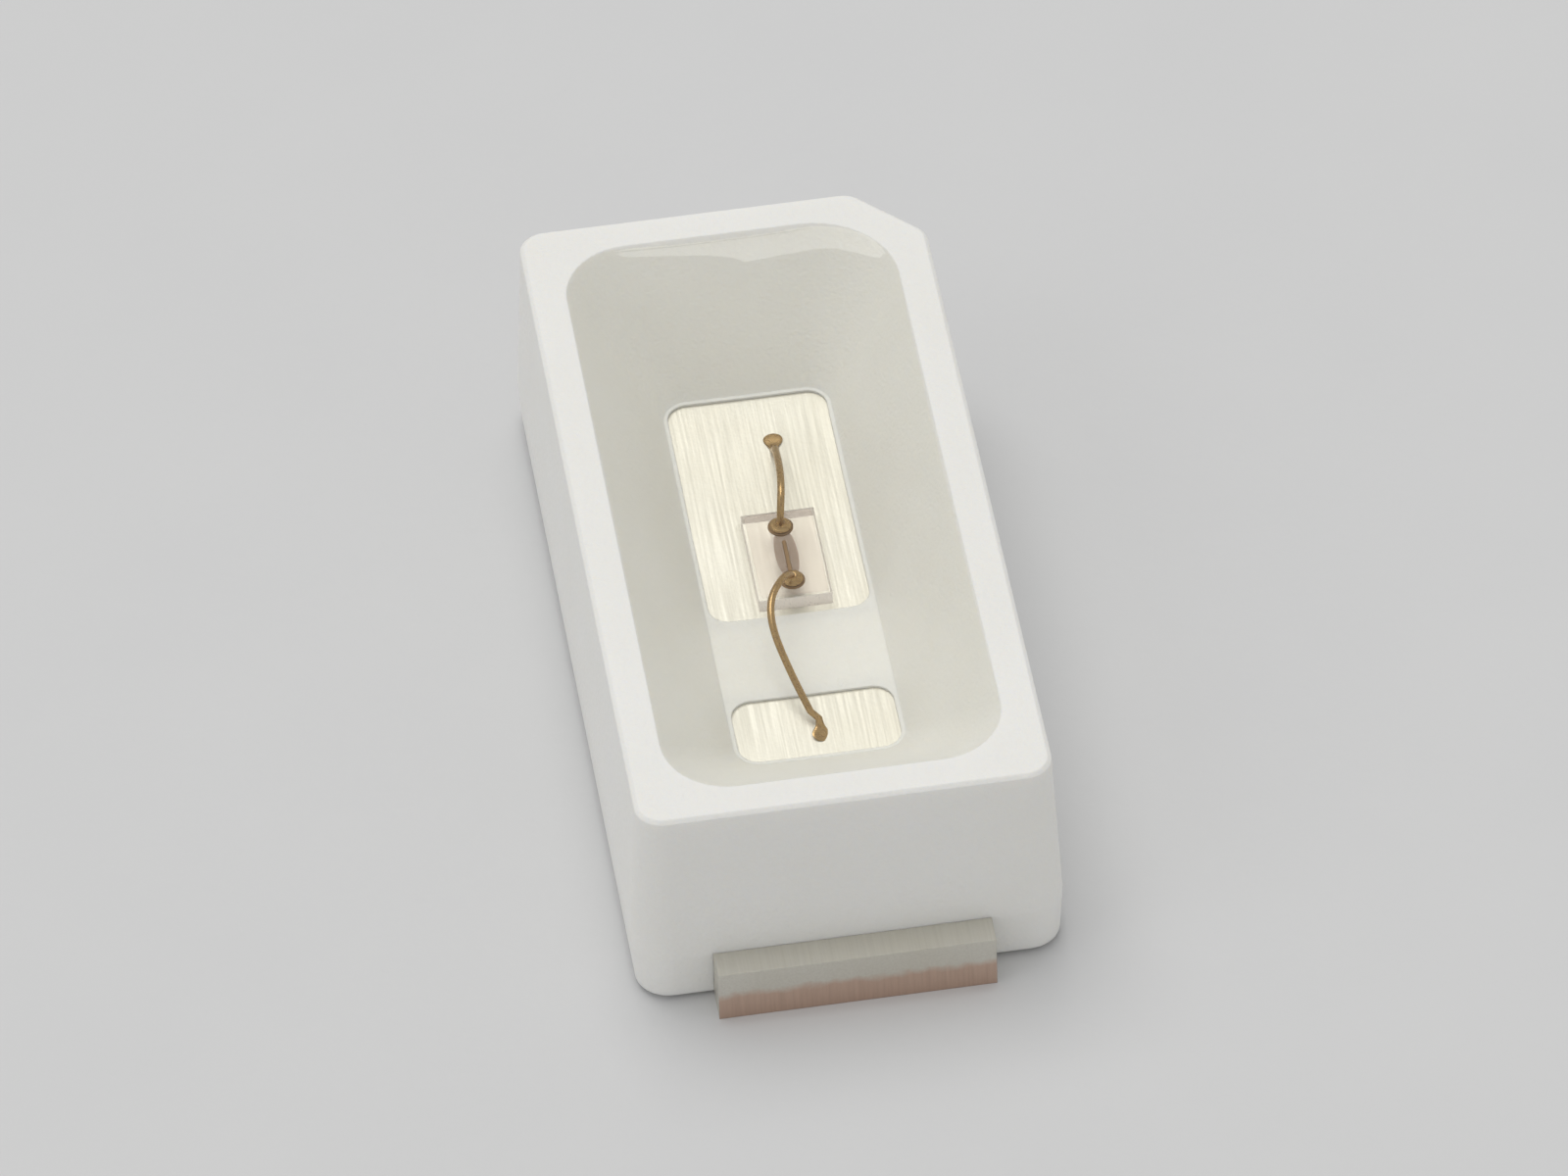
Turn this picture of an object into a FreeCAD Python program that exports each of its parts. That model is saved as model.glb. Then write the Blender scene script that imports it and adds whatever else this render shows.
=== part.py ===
import FreeCAD, Part
import math
import os

import Sketcher

# Top-view surface-mount LED, 3.0 mm over its leads, 1.4 mm wide and 0.8 mm high.
# A white insert-moulded housing holds two stepped leads and forms a sloping reflector
# cavity. The light-emitting die sits on the large lead, two gold wires join it to both
# leads, and clear silicone fills the cavity up to a shallow hollow.
#
# The frame: X runs across the package, Y along it with the large lead at +Y, and Z up.
# The origin is the middle of the footprint on the plane of the solder pads.

# Driving dimensions in millimetres, angles in degrees.
SIZES = {
    # Housing, outside
    "body_length": 2.8,
    "body_width": 1.4,
    "package_height": 0.8,
    "draft_angle": 3.0,
    "corner_radius": 0.12,
    "edge_break": 0.012,
    "polarity_chamfer": 0.24,
    "underside_recess": 0.02,
    "gate_diameter": 0.26,
    "gate_depth": 0.015,
    # Housing, reflector cavity and the windows in its floor
    "rim_width": 0.12,
    "cavity_corner_radius": 0.22,
    "floor_length": 1.70,
    "floor_width": 0.58,
    "floor_corner_radius": 0.09,
    "floor_skin": 0.015,
    "window_ledge": 0.015,
    "window_corner_radius": 0.07,
    "divider_centre": -0.37,
    "divider_width": 0.37,
    # Leads
    "lead_thickness": 0.2,
    "lead_etch": 0.1,
    "lead_projection": 0.1,
    "tab_width": 0.9,
    "solder_pad_width": 1.0,
    "lead_overhang": 0.08,
    "lead_corner_radius": 0.04,
    "divider_lap": 0.03,
    "shoulder_inset": 0.16,
    # Die and its contacts
    "die_length": 0.40,
    "die_width": 0.25,
    "die_thickness": 0.09,
    "die_offset": 0.02,
    "die_window_gap": 0.010,
    "attach_thickness": 0.008,
    "attach_spread": 0.020,
    "attach_bead": 0.020,
    "attach_slope": 40.0,
    "mesa_margin": 0.010,
    "mesa_step": 0.005,
    "lower_layer": 0.004,
    "upper_layer": 0.004,
    "electrode_diameter": 0.086,
    "electrode_thickness": 0.006,
    "electrode_inset": 0.075,
    "electrode_clearance": 0.012,
    "finger_width": 0.014,
    # Bond wires
    "wire_diameter": 0.025,
    "ball_diameter": 0.074,
    "ball_foot": 0.060,
    "ball_height": 0.013,
    "neck_height": 0.022,
    "loop_height": 0.13,
    "stitch_length": 0.085,
    "stitch_width": 0.058,
    "stitch_thickness": 0.010,
    "long_stitch_offset": 0.065,
    "long_stitch_inset": 0.215,
    "short_stitch_offset": 0.012,
    "short_stitch_inset": 0.170,
    "long_wire_sway": 0.012,
    "short_wire_sway": -0.105,
    # Silicone fill: how far its middle lies under the rim, and its rise to the sides
    "meniscus_depth": 0.05,
    "meniscus_rise": 0.024,
}

SHEET = "sizes"
doc = FreeCAD.newDocument("smd_led")


class Size:
    """A number together with the sheet expression that gives it."""

    def __init__(self, value, text):
        self.value = value
        self.text = text

    def __add__(self, other):
        other = as_size(other)
        return Size(self.value + other.value, f"({self.text} + {other.text})")

    def __sub__(self, other):
        other = as_size(other)
        return Size(self.value - other.value, f"({self.text} - {other.text})")

    def __mul__(self, other):
        other = as_size(other)
        return Size(self.value * other.value, f"({self.text} * {other.text})")

    def __truediv__(self, other):
        other = as_size(other)
        return Size(self.value / other.value, f"({self.text} / {other.text})")

    def __neg__(self):
        return self * -1


def as_size(thing):
    if isinstance(thing, Size):
        return thing
    return Size(float(thing), f"({float(thing)})")


def larger(one, other):
    return Size(max(one.value, other.value), f"max({one.text}; {other.text})")


def tangent(angle):
    return Size(math.tan(math.radians(angle.value)), f"tan({angle.text})")


def make_sheet():
    """Put every driving dimension in the sheet, with its name beside it."""
    sheet = doc.addObject("Spreadsheet::Sheet", SHEET)
    for row, (name, value) in enumerate(SIZES.items(), start=1):
        sheet.set(f"A{row}", name)
        sheet.set(f"B{row}", str(value))
        sheet.setAlias(f"B{row}", name)
    doc.recompute()
    return sheet


sheet = make_sheet()


def size(name):
    return Size(float(sheet.get(name)), f"{SHEET}.{name}")


# Sizes that several pieces share, worked out from the sheet
FLOOR_TOP = size("lead_thickness") + size("floor_skin")
TOP_INSET = tangent(size("draft_angle")) * (size("package_height") - size("lead_thickness"))
CAVITY_HALF_WIDTH = size("body_width") / 2 - TOP_INSET - size("rim_width")
CAVITY_HALF_LENGTH = size("body_length") / 2 - TOP_INSET - size("rim_width")
# The rim keeps its width round the polarity corner
POLARITY_CORNER_RADIUS = larger(
    size("cavity_corner_radius"),
    size("polarity_chamfer") * (1 + math.sqrt(0.5)) - size("rim_width"),
)
WINDOW_HALF_WIDTH = size("floor_width") / 2 - size("window_ledge")
WINDOW_REACH = size("floor_length") / 2 - size("window_ledge")
DIVIDER_HIGH_EDGE = size("divider_centre") + size("divider_width") / 2
DIVIDER_LOW_EDGE = size("divider_centre") - size("divider_width") / 2
DIE_BASE = size("lead_thickness") + size("attach_thickness")
DIE_TOP = DIE_BASE + size("die_thickness")
LOWER_LAYER_TOP = DIE_TOP + size("lower_layer")
UPPER_LAYER_TOP = LOWER_LAYER_TOP + size("upper_layer")
# The die sits off the middle, with its bonding film close to the divider
DIE_X = size("die_offset")
DIE_Y = (
    DIVIDER_HIGH_EDGE
    + size("die_window_gap")
    + size("attach_spread")
    + size("die_length") / 2
)
ELECTRODE_REACH = size("die_length") / 2 - size("electrode_inset")
N_ELECTRODE_Y = DIE_Y + ELECTRODE_REACH
P_ELECTRODE_Y = DIE_Y - ELECTRODE_REACH


def new_body(label):
    body = doc.addObject("PartDesign::Body", label)
    body.Label = label
    return body


def new_sketch(body, name, height):
    """A sketch parallel to the body's XY plane, at a height bound to the sheet."""
    sketch = body.newObject("Sketcher::SketchObject", name)
    planes = [f for f in body.Origin.OriginFeatures if f.Role == "XY_Plane"]
    sketch.AttachmentSupport = (planes[0], [""])
    sketch.MapMode = "FlatFace"
    sketch.AttachmentOffset = FreeCAD.Placement(
        FreeCAD.Vector(0, 0, height.value), FreeCAD.Rotation()
    )
    sketch.setExpression("AttachmentOffset.Base.z", height.text)
    return sketch


def bind(sketch, constraint, name, length):
    """Add a constraint whose value follows a size."""
    index = sketch.addConstraint(constraint)
    sketch.renameConstraint(index, name)
    sketch.setExpression(f"Constraints.{name}", length.text)


def draw_circle(sketch, centre_x, centre_y, diameter, name="circle"):
    centre = FreeCAD.Vector(centre_x.value, centre_y.value, 0)
    circle = sketch.addGeometry(
        Part.Circle(centre, FreeCAD.Vector(0, 0, 1), diameter.value / 2)
    )
    bind(sketch, Sketcher.Constraint("DistanceX", circle, 3, centre.x), f"{name}_x", centre_x)
    bind(sketch, Sketcher.Constraint("DistanceY", circle, 3, centre.y), f"{name}_y", centre_y)
    bind(
        sketch,
        Sketcher.Constraint("Diameter", circle, diameter.value),
        f"{name}_diameter",
        diameter,
    )


def draw_outline(sketch, corners):
    """Draw a closed outline. Each corner is (x, y, radius); radius None keeps it sharp."""
    points = [FreeCAD.Vector(x.value, y.value, 0) for x, y, radius in corners]
    count = len(corners)
    area = sum(
        points[i].x * points[(i + 1) % count].y - points[(i + 1) % count].x * points[i].y
        for i in range(count)
    )
    if area < 0:
        corners = corners[::-1]
        points = points[::-1]
    runs = [(points[(i + 1) % count] - points[i]).normalize() for i in range(count)]
    turns = [
        math.atan2(runs[i - 1].cross(runs[i]).z, runs[i - 1].dot(runs[i]))
        for i in range(count)
    ]
    trims = [
        0 if corners[i][2] is None else corners[i][2].value * math.tan(abs(turns[i]) / 2)
        for i in range(count)
    ]

    marks = []
    for i, (x, y, radius) in enumerate(corners):
        mark = sketch.addGeometry(Part.Point(points[i]), True)
        bind(sketch, Sketcher.Constraint("DistanceX", mark, 1, x.value), f"corner{i}_x", x)
        bind(sketch, Sketcher.Constraint("DistanceY", mark, 1, y.value), f"corner{i}_y", y)
        marks.append(mark)

    lines = []
    for i in range(count):
        start = points[i] + runs[i] * trims[i]
        finish = points[(i + 1) % count] - runs[i] * trims[(i + 1) % count]
        lines.append(sketch.addGeometry(Part.LineSegment(start, finish)))

    for i, (x, y, radius) in enumerate(corners):
        before, after = lines[i - 1], lines[i]
        if radius is None:
            sketch.addConstraint(Sketcher.Constraint("Coincident", before, 2, marks[i], 1))
            sketch.addConstraint(Sketcher.Constraint("Coincident", after, 1, marks[i], 1))
            continue
        for line in (before, after):
            sketch.addConstraint(Sketcher.Constraint("PointOnObject", marks[i], 1, line))
        inward = FreeCAD.Vector(-runs[i].y, runs[i].x, 0) * math.copysign(1, turns[i])
        centre = points[i] + runs[i] * trims[i] + inward * radius.value
        entry = points[i] - runs[i - 1] * trims[i] - centre
        leave = points[i] + runs[i] * trims[i] - centre
        first, last = (entry, leave) if turns[i] > 0 else (leave, entry)
        arc = sketch.addGeometry(
            Part.ArcOfCircle(
                Part.Circle(centre, FreeCAD.Vector(0, 0, 1), radius.value),
                math.atan2(first.y, first.x),
                math.atan2(last.y, last.x),
            )
        )
        entry_end, leave_end = (1, 2) if turns[i] > 0 else (2, 1)
        sketch.addConstraint(Sketcher.Constraint("Tangent", before, 2, arc, entry_end))
        sketch.addConstraint(Sketcher.Constraint("Tangent", arc, leave_end, after, 1))
        bind(sketch, Sketcher.Constraint("Radius", arc, radius.value), f"corner{i}_r", radius)


def rectangle(low_x, high_x, low_y, high_y, radius=None):
    return [
        (low_x, low_y, radius),
        (high_x, low_y, radius),
        (high_x, high_y, radius),
        (low_x, high_y, radius),
    ]


def add_pad(body, name, sketch, length, taper=None, downward=False):
    pad = body.newObject("PartDesign::Pad", name)
    pad.Profile = sketch
    pad.setExpression("Length", length.text)
    if taper is not None:
        pad.setExpression("TaperAngle", taper.text)
    pad.Reversed = downward
    return pad


def add_pocket(body, name, sketch, depth, upward=False):
    """A pocket from the sketch downwards, or upwards; it has to remove something."""
    doc.recompute()
    before = body.Shape.Volume
    pocket = body.newObject("PartDesign::Pocket", name)
    pocket.Profile = sketch
    pocket.setExpression("Length", depth.text)
    pocket.Reversed = upward
    doc.recompute()
    if body.Shape.Volume >= before:
        raise RuntimeError(f"{name} removed nothing")
    return pocket


def outer_corners():
    """The housing's outline where it is widest, with the polarity corner cut off."""
    half_width = size("body_width") / 2
    half_length = size("body_length") / 2
    radius = size("corner_radius")
    return [
        (-half_width, -half_length, radius),
        (half_width, -half_length, radius),
        (half_width, half_length - size("polarity_chamfer"), radius),
        (half_width - size("polarity_chamfer"), half_length, radius),
        (-half_width, half_length, radius),
    ]


def cavity_mouth(body):
    """The cavity's outline at the rim."""
    sketch = new_sketch(body, f"{body.Name}_mouth", size("package_height"))
    corners = rectangle(
        -CAVITY_HALF_WIDTH,
        CAVITY_HALF_WIDTH,
        -CAVITY_HALF_LENGTH,
        CAVITY_HALF_LENGTH,
        size("cavity_corner_radius"),
    )
    corners[2] = (CAVITY_HALF_WIDTH, CAVITY_HALF_LENGTH, POLARITY_CORNER_RADIUS)
    draw_outline(sketch, corners)
    return sketch


def cavity_floor(body):
    """The cavity's outline at its floor."""
    sketch = new_sketch(body, f"{body.Name}_floor", FLOOR_TOP)
    half_width = size("floor_width") / 2
    half_length = size("floor_length") / 2
    draw_outline(
        sketch,
        rectangle(
            -half_width, half_width, -half_length, half_length, size("floor_corner_radius")
        ),
    )
    return sketch


def windows(body, height):
    """The outlines of the two openings in the cavity's floor that show the leads."""
    spans = {
        "large_window": (DIVIDER_HIGH_EDGE, WINDOW_REACH),
        "small_window": (-WINDOW_REACH, DIVIDER_LOW_EDGE),
    }
    sketches = []
    for name, (low_y, high_y) in spans.items():
        sketch = new_sketch(body, f"{body.Name}_{name}", height)
        draw_outline(
            sketch,
            rectangle(
                -WINDOW_HALF_WIDTH,
                WINDOW_HALF_WIDTH,
                low_y,
                high_y,
                size("window_corner_radius"),
            ),
        )
        sketches.append(sketch)
    return sketches


def cut_away(label, base, tools):
    """What is left of base once the tools' shapes are taken out of it."""
    tool = tools[0]
    if len(tools) > 1:
        tool = doc.addObject("Part::MultiFuse", f"{label}_tools")
        tool.Shapes = tools
    cut = doc.addObject("Part::Cut", label)
    cut.Base = base
    cut.Tool = tool
    cut.Label = label
    return cut


def make_lead(label, side, inner_edge):
    """One lead: a solder pad and tab of full thickness, with a flange half as thick.

    The flange reaches under the plastic on three sides and locks the lead in it.
    side is 1 for the lead at +Y and -1 for the one at -Y.
    """
    body = new_body(label)
    half_pad = size("solder_pad_width") / 2
    half_tab = size("tab_width") / 2
    radius = size("lead_corner_radius")
    pad_edge = inner_edge + size("lead_overhang") * side
    shoulder = (size("body_length") / 2 - size("shoulder_inset")) * side
    tip = (size("body_length") / 2 + size("lead_projection")) * side
    pad_sketch = new_sketch(body, f"{label}_pad_outline", as_size(0))
    draw_outline(
        pad_sketch,
        [
            (-half_pad, pad_edge, radius),
            (half_pad, pad_edge, radius),
            (half_pad, shoulder, radius),
            (half_tab, shoulder, None),
            (half_tab, tip, None),
            (-half_tab, tip, None),
            (-half_tab, shoulder, None),
            (-half_pad, shoulder, radius),
        ],
    )
    add_pad(body, f"{label}_full_thickness", pad_sketch, size("lead_thickness"))
    half_flange = half_pad + size("lead_overhang")
    flange_sketch = new_sketch(body, f"{label}_flange_outline", size("lead_etch"))
    draw_outline(
        flange_sketch, rectangle(-half_flange, half_flange, inner_edge, shoulder)
    )
    flange_thickness = size("lead_thickness") - size("lead_etch")
    add_pad(body, f"{label}_flange", flange_sketch, flange_thickness)
    return body


def break_rim_edges(body, feature):
    """Bevel the rim's outer edges, which lie at the top and outside the cavity's mouth."""
    top = size("package_height").value
    names = []
    for number, edge in enumerate(feature.Shape.Edges, start=1):
        box = edge.BoundBox
        middle = edge.valueAt((edge.FirstParameter + edge.LastParameter) / 2)
        outside = (
            abs(middle.x) > CAVITY_HALF_WIDTH.value + size("rim_width").value / 2
            or abs(middle.y) > CAVITY_HALF_LENGTH.value + size("rim_width").value / 2
        )
        if abs(box.ZMin - top) < 1e-6 and abs(box.ZMax - top) < 1e-6 and outside:
            names.append(f"Edge{number}")
    bevel = body.newObject("PartDesign::Chamfer", "rim_bevel")
    bevel.Base = (feature, names)
    bevel.setExpression("Size", size("edge_break").text)
    return bevel


def make_housing(leads):
    """The white moulding, drafted both ways from the plane of the leads' tops."""
    blank = new_body("housing_blank")
    upper = new_sketch(blank, "outline_above_parting", size("lead_thickness"))
    draw_outline(upper, outer_corners())
    wall_height = size("package_height") - size("lead_thickness")
    add_pad(blank, "upper_housing", upper, wall_height, -size("draft_angle"))
    lower = new_sketch(blank, "outline_below_parting", size("lead_thickness"))
    draw_outline(lower, outer_corners())
    skirt = size("lead_thickness") - size("underside_recess")
    add_pad(blank, "lower_housing", lower, skirt, -size("draft_angle"), downward=True)

    doc.recompute()
    before = blank.Shape.Volume
    cavity = blank.newObject("PartDesign::SubtractiveLoft", "reflector_cavity")
    cavity.Profile = cavity_mouth(blank)
    cavity.Sections = [cavity_floor(blank)]
    cavity.Ruled = True
    doc.recompute()
    if blank.Shape.Volume >= before:
        raise RuntimeError("the reflector cavity removed nothing")
    for sketch in windows(blank, FLOOR_TOP):
        add_pocket(blank, f"{sketch.Name}_opening", sketch, size("floor_skin"))

    gate = new_sketch(blank, "gate_outline", size("underside_recess"))
    draw_circle(gate, as_size(0), size("divider_centre"), size("gate_diameter"))
    gate_mark = add_pocket(blank, "gate_mark", gate, size("gate_depth"), upward=True)
    break_rim_edges(blank, gate_mark)
    return cut_away("housing", blank, leads)


def die_rectangle(margin, radius=None):
    """The die's outline, drawn in by a margin."""
    half_width = size("die_width") / 2 - margin
    half_length = size("die_length") / 2 - margin
    return rectangle(
        DIE_X - half_width,
        DIE_X + half_width,
        DIE_Y - half_length,
        DIE_Y + half_length,
        radius,
    )


def make_die_attach():
    """The bonding film under the die, with a fillet that creeps up its sides."""
    body = new_body("die_attach")
    spread = size("attach_spread")
    foot = new_sketch(body, "attach_foot", size("lead_thickness"))
    draw_outline(foot, die_rectangle(-spread, spread))
    add_pad(body, "attach_bead", foot, size("attach_bead"), -size("attach_slope"))
    seat = new_sketch(body, "die_seat", DIE_BASE)
    draw_outline(seat, die_rectangle(as_size(0)))
    add_pocket(body, "die_seat_pocket", seat, size("attach_bead"), upward=True)
    return body


def make_substrate():
    """The die's clear sapphire block."""
    body = new_body("die_substrate")
    sketch = new_sketch(body, "substrate_outline", DIE_BASE)
    draw_outline(sketch, die_rectangle(as_size(0)))
    add_pad(body, "substrate_block", sketch, size("die_thickness"))
    return body


def make_epitaxy():
    """The light-emitting layers: a lower one, and an upper one open round the n contact."""
    body = new_body("die_epitaxy")
    lower = new_sketch(body, "lower_layer_outline", DIE_TOP)
    draw_outline(lower, die_rectangle(size("mesa_margin")))
    add_pad(body, "lower_epitaxy", lower, size("lower_layer"))
    upper = new_sketch(body, "upper_layer_outline", LOWER_LAYER_TOP)
    draw_outline(upper, die_rectangle(size("mesa_margin") + size("mesa_step")))
    add_pad(body, "upper_epitaxy", upper, size("upper_layer"))
    opening = new_sketch(body, "contact_opening_outline", UPPER_LAYER_TOP)
    opening_diameter = size("electrode_diameter") + size("electrode_clearance") * 2
    draw_circle(opening, DIE_X, N_ELECTRODE_Y, opening_diameter)
    add_pocket(body, "contact_opening", opening, size("upper_layer"))
    return body


def make_n_electrode():
    body = new_body("n_electrode")
    sketch = new_sketch(body, "n_contact_outline", LOWER_LAYER_TOP)
    draw_circle(sketch, DIE_X, N_ELECTRODE_Y, size("electrode_diameter"))
    add_pad(body, "n_contact", sketch, size("electrode_thickness"))
    return body


def make_p_electrode():
    """The round p contact, with a finger that spreads the current towards the other one."""
    body = new_body("p_electrode")
    disc = new_sketch(body, "p_contact_outline", UPPER_LAYER_TOP)
    draw_circle(disc, DIE_X, P_ELECTRODE_Y, size("electrode_diameter"))
    add_pad(body, "p_contact", disc, size("electrode_thickness"))
    finger = new_sketch(body, "finger_outline", UPPER_LAYER_TOP)
    half_finger = size("finger_width") / 2
    opening_radius = size("electrode_diameter") / 2 + size("electrode_clearance")
    draw_outline(
        finger,
        rectangle(
            DIE_X - half_finger,
            DIE_X + half_finger,
            P_ELECTRODE_Y,
            N_ELECTRODE_Y - opening_radius - size("electrode_clearance"),
        ),
    )
    add_pad(body, "p_finger", finger, size("electrode_thickness"))
    return body


def bent_path(points):
    """Straight runs through the points, joined by the largest tangent arcs that fit."""
    edges = []
    start = points[0]
    for before, here, after in zip(points, points[1:], points[2:]):
        run_in = here - before
        run_out = after - here
        trim = 0.45 * min(run_in.Length, run_out.Length)
        way_in = FreeCAD.Vector(run_in).normalize()
        way_out = FreeCAD.Vector(run_out).normalize()
        half_turn = way_in.getAngle(way_out) / 2
        radius = trim / math.tan(half_turn)
        inward = (way_out - way_in).normalize()
        middle = here + inward * (radius / math.cos(half_turn) - radius)
        arc_start = here - way_in * trim
        arc_end = here + way_out * trim
        edges.append(Part.LineSegment(start, arc_start).toShape())
        edges.append(Part.Arc(arc_start, middle, arc_end).toShape())
        start = arc_end
    edges.append(Part.LineSegment(start, points[-1]).toShape())
    return Part.Wire(edges)


def ball_bond():
    """The squashed ball at a wire's first end, standing on z = 0, with its tapered neck."""
    radius = size("ball_diameter").value / 2
    flat = size("ball_foot").value / 2
    height = size("ball_height").value
    wire_radius = size("wire_diameter").value / 2
    neck_top = height + size("neck_height").value
    origin = FreeCAD.Vector(0, 0, 0)
    profile = Part.makePolygon(
        [
            origin,
            FreeCAD.Vector(flat, 0, 0),
            FreeCAD.Vector(radius, 0, height),
            FreeCAD.Vector(wire_radius, 0, neck_top),
            FreeCAD.Vector(0, 0, neck_top),
            origin,
        ]
    )
    return Part.Face(profile).revolve(origin, FreeCAD.Vector(0, 0, 1), 360)


def stitch_bond(direction):
    """The flattened crescent at a wire's second end, on z = 0, long in the wire's direction."""
    ellipse = Part.Ellipse(
        FreeCAD.Vector(0, 0, 0),
        size("stitch_length").value / 2,
        size("stitch_width").value / 2,
    )
    outline = Part.Wire(ellipse.toShape())
    outline.rotate(
        FreeCAD.Vector(0, 0, 0), FreeCAD.Vector(0, 0, 1), math.degrees(direction)
    )
    lift = FreeCAD.Vector(0, 0, size("stitch_thickness").value)
    return Part.Face(outline).extrude(lift)


def make_wire(label, contact_y, contact_top, stitch_x, stitch_y, sway):
    """A gold wire from the ball on a contact, over a loop that sways, to the stitch."""
    wire_radius = size("wire_diameter").value / 2
    lead_top = size("lead_thickness").value
    foot = FreeCAD.Vector(DIE_X.value, contact_y.value, contact_top.value)
    stitch = FreeCAD.Vector(stitch_x.value, stitch_y.value, lead_top)
    span = FreeCAD.Vector(stitch.x - foot.x, stitch.y - foot.y, 0)
    across = FreeCAD.Vector(1, 0, 0)
    ball_top = size("ball_height").value + size("neck_height").value
    loop = size("loop_height").value
    rise = foot.z - lead_top

    # Share of the span, height above the lead and share of the sway at each bend
    bends = [
        (0.00, rise + ball_top * 0.7, 0.0),
        (0.02, rise + loop * 0.85, 0.20),
        (0.31, rise + loop * 1.08, 1.15),
        (0.74, (rise + loop) * 0.50, 0.60),
        (1.00, wire_radius / 2, 0.0),
    ]
    points = [
        FreeCAD.Vector(foot.x, foot.y, lead_top)
        + span * share
        + across * (sway.value * lean)
        + FreeCAD.Vector(0, 0, height)
        for share, height, lean in bends
    ]
    profile = Part.Wire(Part.Circle(points[0], points[1] - points[0], wire_radius).toShape())
    strand = bent_path(points).makePipeShell([profile], True, True)

    ball = ball_bond()
    ball.translate(foot)
    crescent = stitch_bond(math.atan2(span.y, span.x))
    crescent.translate(stitch)
    below = Part.makeBox(
        size("body_width").value,
        size("body_length").value,
        lead_top,
        FreeCAD.Vector(-size("body_width").value / 2, -size("body_length").value / 2, 0),
    )
    shape = ball.fuse([strand.cut(below), crescent]).removeSplitter()
    wire = doc.addObject("Part::Feature", label)
    wire.Label = label
    wire.Shape = shape.Solids[0]
    wire.Placement = FreeCAD.Placement()
    return wire


def make_encapsulant(inner_pieces):
    """Clear silicone: the cavity and its windows, less what is set in it and the hollow."""
    fill = new_body("cavity_fill")
    bulk = fill.newObject("PartDesign::AdditiveLoft", "fill_bulk")
    bulk.Profile = cavity_floor(fill)
    bulk.Sections = [cavity_mouth(fill)]
    bulk.Ruled = True
    for sketch in windows(fill, size("lead_thickness")):
        add_pad(fill, f"{sketch.Name}_fill", sketch, size("floor_skin"))

    # The hollow is the outside of a large ring lying along the cavity, whose two radii
    # make the surface rise by the same amount at the cavity's sides and at its ends
    hollow = doc.addObject("Part::Torus", "meniscus_hollow")
    lowest = size("package_height") - size("meniscus_depth")
    across = CAVITY_HALF_WIDTH * CAVITY_HALF_WIDTH / (size("meniscus_rise") * 2)
    along = CAVITY_HALF_LENGTH * CAVITY_HALF_LENGTH / (size("meniscus_rise") * 2)
    hollow.Placement = FreeCAD.Placement(
        FreeCAD.Vector(), FreeCAD.Rotation(FreeCAD.Vector(0, 1, 0), 90)
    )
    hollow.setExpression("Radius1", (along - across).text)
    hollow.setExpression("Radius2", across.text)
    hollow.setExpression("Placement.Base.z", (lowest + along).text)
    doc.recompute()
    return cut_away("encapsulant", fill, [hollow] + inner_pieces)


def check_objects():
    doc.recompute()
    for thing in doc.Objects:
        if "Invalid" in thing.State or "Error" in thing.State:
            raise RuntimeError(f"{thing.Label} failed: {thing.State}")


def write_steps(pieces):
    """Check every sub-part, then write each one to parts/ under its label."""
    for piece in pieces:
        if piece.Shape.isNull() or not piece.Shape.isValid():
            raise RuntimeError(f"{piece.Label} has no valid shape")
        if len(piece.Shape.Solids) != 1:
            raise RuntimeError(f"{piece.Label} is {len(piece.Shape.Solids)} solids")
    os.makedirs("parts", exist_ok=True)
    for piece in pieces:
        piece.Shape.exportStep(os.path.join("parts", f"{piece.Label}.step"))
        box = piece.Shape.BoundBox
        print(
            f"{piece.Label}: {piece.Shape.Volume:.6f} mm3,"
            f" x {box.XMin:.3f} to {box.XMax:.3f},"
            f" y {box.YMin:.3f} to {box.YMax:.3f},"
            f" z {box.ZMin:.3f} to {box.ZMax:.3f}"
        )


large_lead = make_lead("lead_large", 1, DIVIDER_HIGH_EDGE - size("divider_lap"))
small_lead = make_lead("lead_small", -1, DIVIDER_LOW_EDGE + size("divider_lap"))
housing = make_housing([large_lead, small_lead])
die_pieces = [
    make_die_attach(),
    make_substrate(),
    make_epitaxy(),
    make_n_electrode(),
    make_p_electrode(),
]
long_wire = make_wire(
    "bond_wire_large",
    N_ELECTRODE_Y,
    LOWER_LAYER_TOP + size("electrode_thickness"),
    size("long_stitch_offset"),
    WINDOW_REACH - size("long_stitch_inset"),
    size("long_wire_sway"),
)
short_wire = make_wire(
    "bond_wire_small",
    P_ELECTRODE_Y,
    UPPER_LAYER_TOP + size("electrode_thickness"),
    size("short_stitch_offset"),
    DIVIDER_LOW_EDGE - size("short_stitch_inset"),
    size("short_wire_sway"),
)
inner_pieces = die_pieces + [long_wire, short_wire]
encapsulant = make_encapsulant(inner_pieces)
check_objects()
write_steps([housing, large_lead, small_lead] + inner_pieces + [encapsulant])
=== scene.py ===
import math

import bmesh
import bpy
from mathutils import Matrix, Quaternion, Vector


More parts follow.
